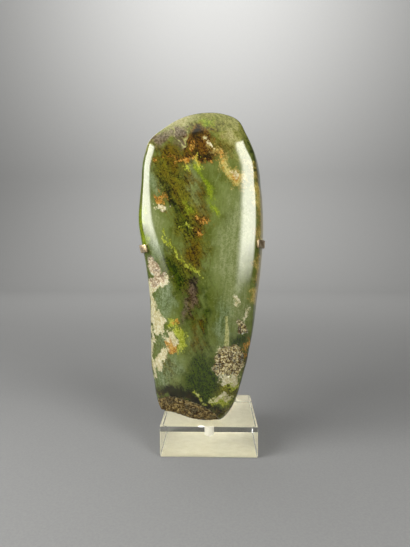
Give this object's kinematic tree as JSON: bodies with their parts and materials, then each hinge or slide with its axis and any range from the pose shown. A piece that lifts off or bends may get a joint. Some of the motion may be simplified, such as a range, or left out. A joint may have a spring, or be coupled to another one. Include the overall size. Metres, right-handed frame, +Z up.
{
  "type": "jadeite axe head",
  "caption": "Polished tapered stone axe head, blade up, standing on a small clear block and steadied by a two-claw metal clip on a stem behind it.",
  "frame": {"origin": "centre of the block's underside", "axes": "+Z up along the stem and the axe's length, front face of the axe towards -Y, +X to the right seen from the front"},
  "size_m": [0.0797, 0.0626, 0.214],
  "materials": {
    "jadeite": "polished mottled green stone with rough pitted patches",
    "clear_acrylic": "polished clear acrylic",
    "brass": "dull brown patina"
  },
  "bodies": {
    "root": {"axe_head": "jadeite", "base_block": "clear_acrylic", "stem": "brass", "clip": "brass"}
  },
  "joints": []
}
